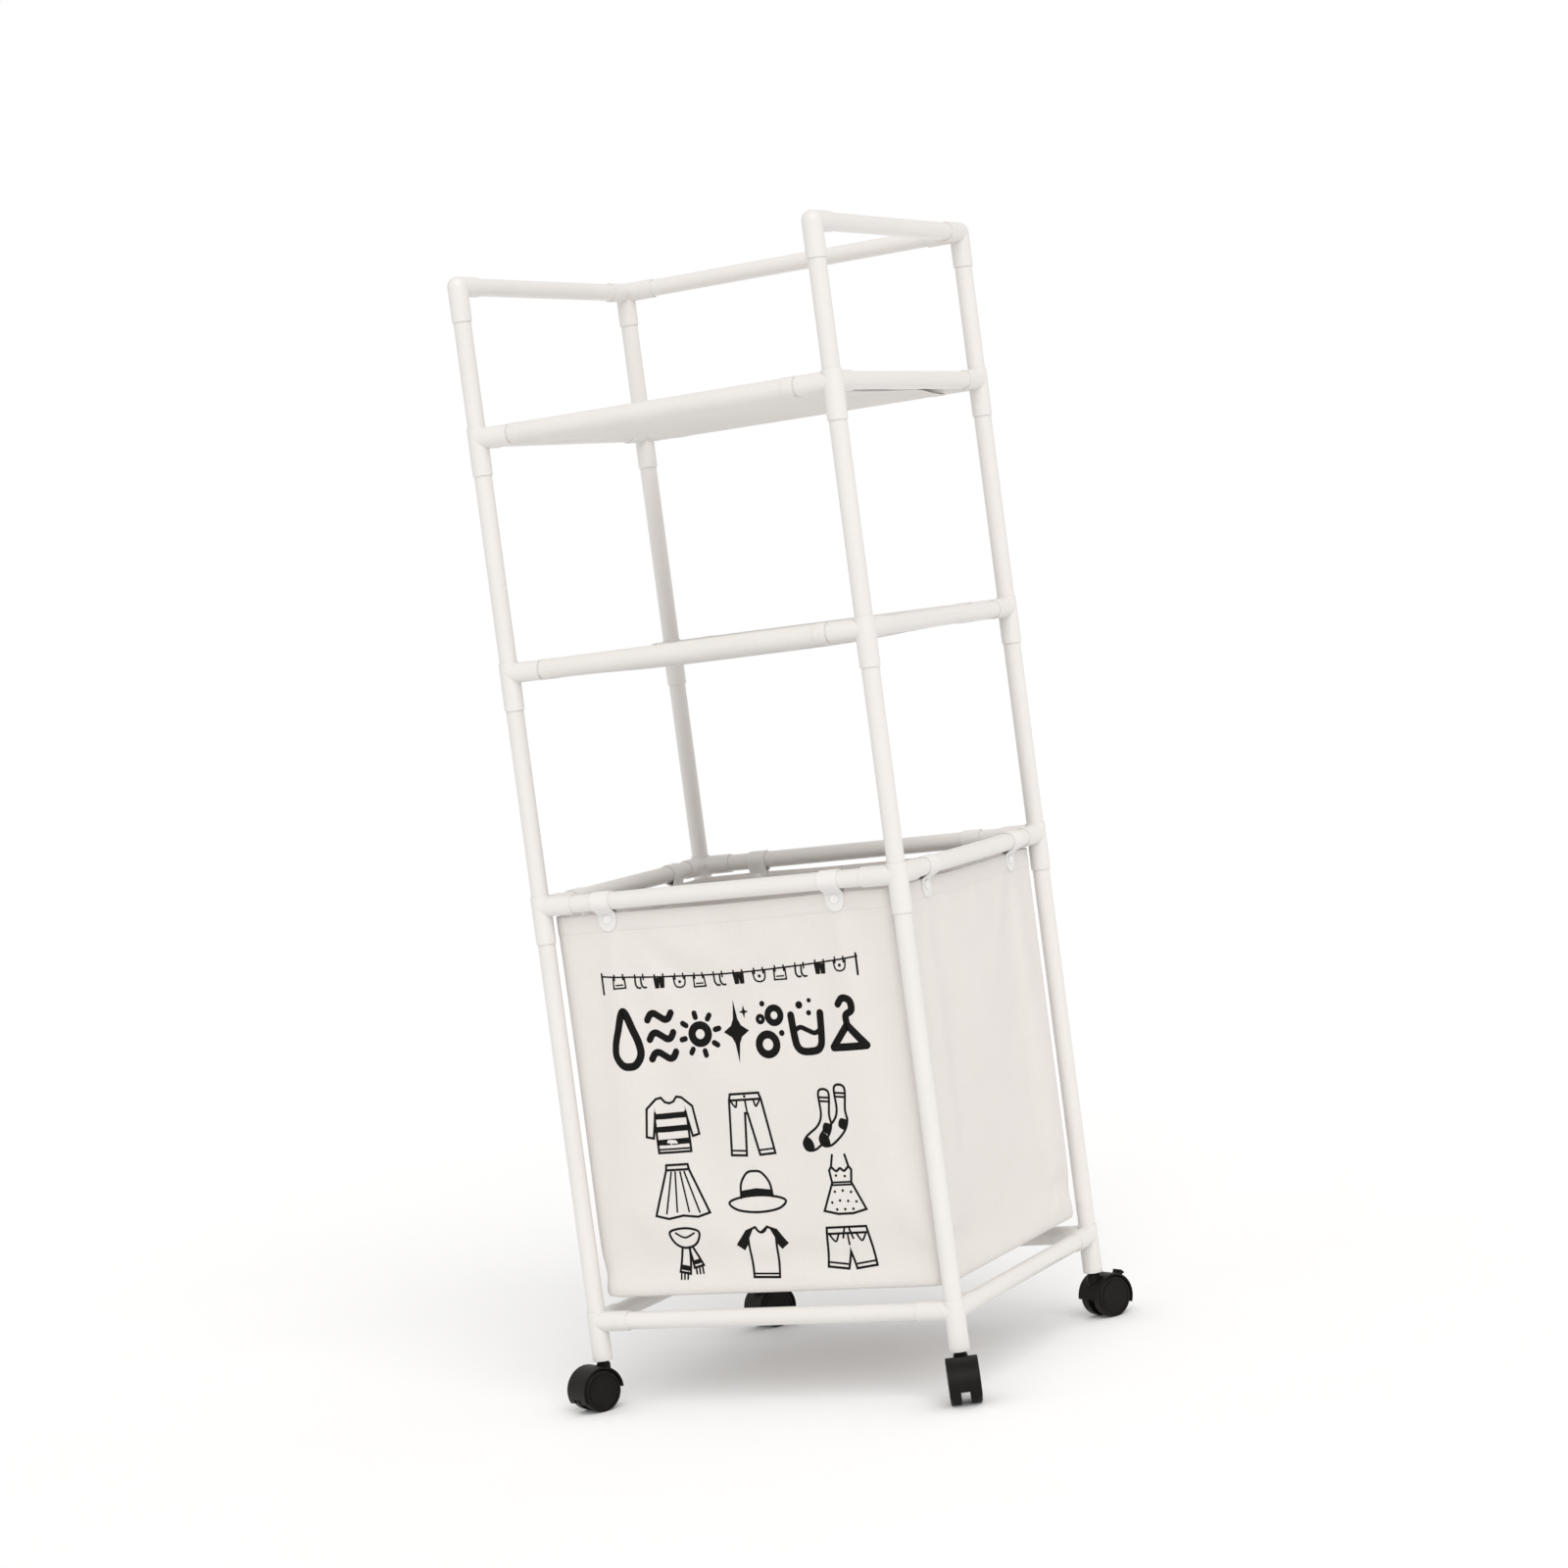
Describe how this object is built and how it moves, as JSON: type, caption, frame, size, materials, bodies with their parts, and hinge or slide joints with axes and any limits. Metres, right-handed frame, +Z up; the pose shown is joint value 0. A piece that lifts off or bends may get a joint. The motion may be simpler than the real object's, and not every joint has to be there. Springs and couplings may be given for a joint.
{
  "type": "laundry sorter on wheels",
  "caption": "Rolling rack of white plug-together tube with two cloth sleeve shelves, a guard rail and a hanging printed hamper bag, on black twin-wheel casters.",
  "frame": {"origin": "centre of the frame's footprint, on the floor", "axes": "+Z up, +Y to the back of the rack, where the guard rail is closed, +X to the right seen from the front"},
  "size_m": [0.4918, 0.4518, 1.2268],
  "materials": {
    "powder_coated_tube": "white powder coat, satin",
    "white_plastic": "moulded white plastic, semi-gloss",
    "hamper_fabric": "off-white woven polyester, crisp",
    "hamper_print": "black screen print on the cloth",
    "shelf_fabric": "white non-woven cloth, stretched",
    "board_fabric": "board covered in the bag's cloth",
    "tab_webbing": "white woven tab",
    "snap_plastic": "white moulded snap",
    "black_plastic": "black moulded nylon, matte",
    "wheel_plastic": "black moulded wheel, matte",
    "bare_steel": "zinc-plated steel"
  },
  "bodies": {
    "rack": {"bag_base_board": "board_fabric", "caster_plugs": "white_plastic", "caster_stems": "bare_steel", "connectors_bottom": "white_plastic", "connectors_hamper": "white_plastic", "connectors_middle_shelf": "white_plastic", "connectors_top_shelf": "white_plastic", "guard_elbows": "white_plastic", "guard_rails": "powder_coated_tube", "hamper_bag": "hamper_fabric", "hanging_tabs": "tab_webbing", "middle_shelf_sleeve": "shelf_fabric", "post_tube_front_left_guard": "powder_coated_tube", "post_tube_front_left_hamper": "powder_coated_tube", "post_tube_front_left_lower_bay": "powder_coated_tube", "post_tube_front_left_upper_bay": "powder_coated_tube", "post_tube_front_right_guard": "powder_coated_tube", "post_tube_front_right_hamper": "powder_coated_tube", "post_tube_front_right_lower_bay": "powder_coated_tube", "post_tube_front_right_upper_bay": "powder_coated_tube", "post_tube_rear_left_guard": "powder_coated_tube", "post_tube_rear_left_hamper": "powder_coated_tube", "post_tube_rear_left_lower_bay": "powder_coated_tube", "post_tube_rear_left_upper_bay": "powder_coated_tube", "post_tube_rear_right_guard": "powder_coated_tube", "post_tube_rear_right_hamper": "powder_coated_tube", "post_tube_rear_right_lower_bay": "powder_coated_tube", "post_tube_rear_right_upper_bay": "powder_coated_tube", "rail_front_bottom": "powder_coated_tube", "rail_front_hamper": "powder_coated_tube", "rail_front_middle_shelf": "powder_coated_tube", "rail_front_top_shelf": "powder_coated_tube", "rail_rear_bottom": "powder_coated_tube", "rail_rear_hamper": "powder_coated_tube", "rail_rear_middle_shelf": "powder_coated_tube", "rail_rear_top_shelf": "powder_coated_tube", "rails_side_bottom": "powder_coated_tube", "rails_side_hamper": "powder_coated_tube", "rails_side_middle_shelf": "powder_coated_tube", "rails_side_top_shelf": "powder_coated_tube", "snap_buttons": "snap_plastic", "top_shelf_sleeve": "shelf_fabric"},
    "caster_front_left": {"caster_housing_front_left": "black_plastic", "caster_axle_front_left": "bare_steel"},
    "wheel_front_left_a": {"wheel_front_left_a": "wheel_plastic"},
    "wheel_front_left_b": {"wheel_front_left_b": "wheel_plastic"},
    "caster_front_right": {"caster_housing_front_right": "black_plastic", "caster_axle_front_right": "bare_steel"},
    "wheel_front_right_a": {"wheel_front_right_a": "wheel_plastic"},
    "wheel_front_right_b": {"wheel_front_right_b": "wheel_plastic"},
    "caster_rear_left": {"caster_housing_rear_left": "black_plastic", "caster_axle_rear_left": "bare_steel"},
    "wheel_rear_left_a": {"wheel_rear_left_a": "wheel_plastic"},
    "wheel_rear_left_b": {"wheel_rear_left_b": "wheel_plastic"},
    "brake_rear_left": {"brake_lever_rear_left": "black_plastic"},
    "caster_rear_right": {"caster_housing_rear_right": "black_plastic", "caster_axle_rear_right": "bare_steel"},
    "wheel_rear_right_a": {"wheel_rear_right_a": "wheel_plastic"},
    "wheel_rear_right_b": {"wheel_rear_right_b": "wheel_plastic"},
    "brake_rear_right": {"brake_lever_rear_right": "black_plastic"}
  },
  "joints": [
    {"name": "swivel_front_left", "type": "hinge", "parent": "rack", "child": "caster_front_left", "pos_m": [-0.213, -0.183, 0.051], "axis": [0, 0, 1], "continuous": true},
    {"name": "spin_front_left_a", "type": "hinge", "parent": "caster_front_left", "child": "wheel_front_left_a", "pos_m": [-0.2194, -0.19545, 0.0225], "axis": [0.8894, -0.4571, 0], "continuous": true},
    {"name": "spin_front_left_b", "type": "hinge", "parent": "caster_front_left", "child": "wheel_front_left_b", "pos_m": [-0.2194, -0.19545, 0.0225], "axis": [0.8894, -0.4571, 0], "continuous": true},
    {"name": "swivel_front_right", "type": "hinge", "parent": "rack", "child": "caster_front_right", "pos_m": [0.213, -0.183, 0.051], "axis": [0, 0, 1], "continuous": true},
    {"name": "spin_front_right_a", "type": "hinge", "parent": "caster_front_right", "child": "wheel_front_right_a", "pos_m": [0.2194, -0.19545, 0.0225], "axis": [0.8894, 0.4571, 0], "continuous": true},
    {"name": "spin_front_right_b", "type": "hinge", "parent": "caster_front_right", "child": "wheel_front_right_b", "pos_m": [0.2194, -0.19545, 0.0225], "axis": [0.8894, 0.4571, 0], "continuous": true},
    {"name": "swivel_rear_left", "type": "hinge", "parent": "rack", "child": "caster_rear_left", "pos_m": [-0.213, 0.183, 0.051], "axis": [0, 0, 1], "continuous": true},
    {"name": "spin_rear_left_a", "type": "hinge", "parent": "caster_rear_left", "child": "wheel_rear_left_a", "pos_m": [-0.2066, 0.19545, 0.0225], "axis": [-0.8894, 0.4571, 0], "continuous": true},
    {"name": "spin_rear_left_b", "type": "hinge", "parent": "caster_rear_left", "child": "wheel_rear_left_b", "pos_m": [-0.2066, 0.19545, 0.0225], "axis": [-0.8894, 0.4571, 0], "continuous": true},
    {"name": "brake_press_rear_left", "type": "hinge", "parent": "caster_rear_left", "child": "brake_rear_left", "pos_m": [-0.2066, 0.19545, 0.0225], "axis": [-0.8894, 0.4571, 0], "range_deg": [0, 12]},
    {"name": "swivel_rear_right", "type": "hinge", "parent": "rack", "child": "caster_rear_right", "pos_m": [0.213, 0.183, 0.051], "axis": [0, 0, 1], "continuous": true},
    {"name": "spin_rear_right_a", "type": "hinge", "parent": "caster_rear_right", "child": "wheel_rear_right_a", "pos_m": [0.2194, 0.19545, 0.0225], "axis": [-0.8894, 0.4571, 0], "continuous": true},
    {"name": "spin_rear_right_b", "type": "hinge", "parent": "caster_rear_right", "child": "wheel_rear_right_b", "pos_m": [0.2194, 0.19545, 0.0225], "axis": [-0.8894, 0.4571, 0], "continuous": true},
    {"name": "brake_press_rear_right", "type": "hinge", "parent": "caster_rear_right", "child": "brake_rear_right", "pos_m": [0.2194, 0.19545, 0.0225], "axis": [-0.8894, 0.4571, 0], "range_deg": [0, 12]}
  ]
}
